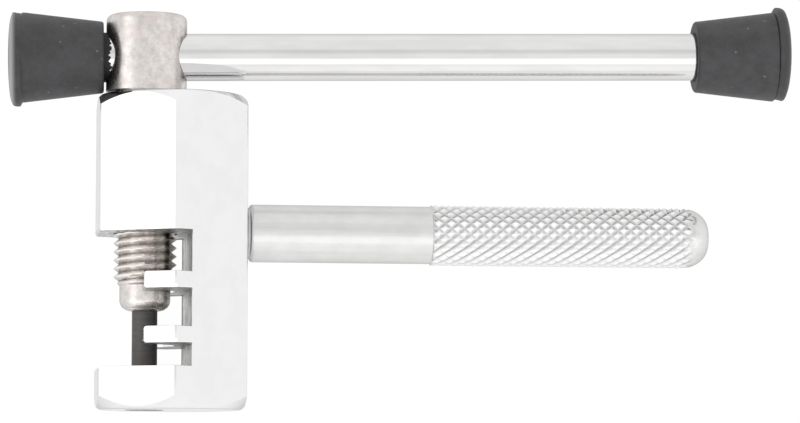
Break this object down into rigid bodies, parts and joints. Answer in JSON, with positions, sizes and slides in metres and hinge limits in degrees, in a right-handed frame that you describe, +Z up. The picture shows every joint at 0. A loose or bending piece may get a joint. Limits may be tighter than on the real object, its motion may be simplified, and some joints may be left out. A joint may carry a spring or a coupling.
{
  "type": "chain tool",
  "caption": "Workshop bicycle chain tool: slotted hexagon body with a knurled side handle, and a drive screw with a rivet pin and a sliding bar with rubber caps.",
  "frame": {"origin": "centre of the footprint, on the surface that the tool lies on", "axes": "+Y along the screw from the body's plain end to the screw's head, +Z up, +X the way the handle and the bar point; the handle and the bar slope down a few degrees towards +X, because the tool rests on an edge of the hexagon, the handle's tip and the bar's far cap"},
  "size_m": [0.0998, 0.0514, 0.0213],
  "materials": {
    "body": "bright chrome plate with softened edges; fine milling marks on the slot walls",
    "handle": "satin chrome plate, diamond knurl on the outer half",
    "screw": "dull nickel plate, slightly mottled, rolled thread",
    "pin": "hardened steel with a black oxide finish",
    "bar": "polished plated steel rod",
    "cap": "matte moulded black rubber with a raised lip"
  },
  "bodies": {
    "frame": {"hex_body": "body", "side_handle": "handle"},
    "pin": {"drive_pin": "pin"},
    "spindle": {"drive_screw": "screw"},
    "bar": {"tommy_bar": "bar", "bar_cap_left": "cap", "bar_cap_right": "cap"}
  },
  "joints": [
    {"name": "screw_feed", "type": "slide", "parent": "frame", "child": "pin", "axis": [0, 1, 0], "range_m": [0, 0.01588]},
    {"name": "screw_turn", "type": "hinge", "parent": "pin", "child": "spindle", "pos_m": [-0.03216, 0, 0.01102], "axis": [0, 1, 0], "range_deg": [0, 5400]},
    {"name": "bar_slide", "type": "slide", "parent": "spindle", "child": "bar", "axis": [-0.9979, -0.0127, 0.063], "range_m": [0, 0.0585]}
  ],
  "couplings": [
    {"joint": "screw_feed", "follows": "screw_turn", "m_per_rad": 0.00016844}
  ]
}
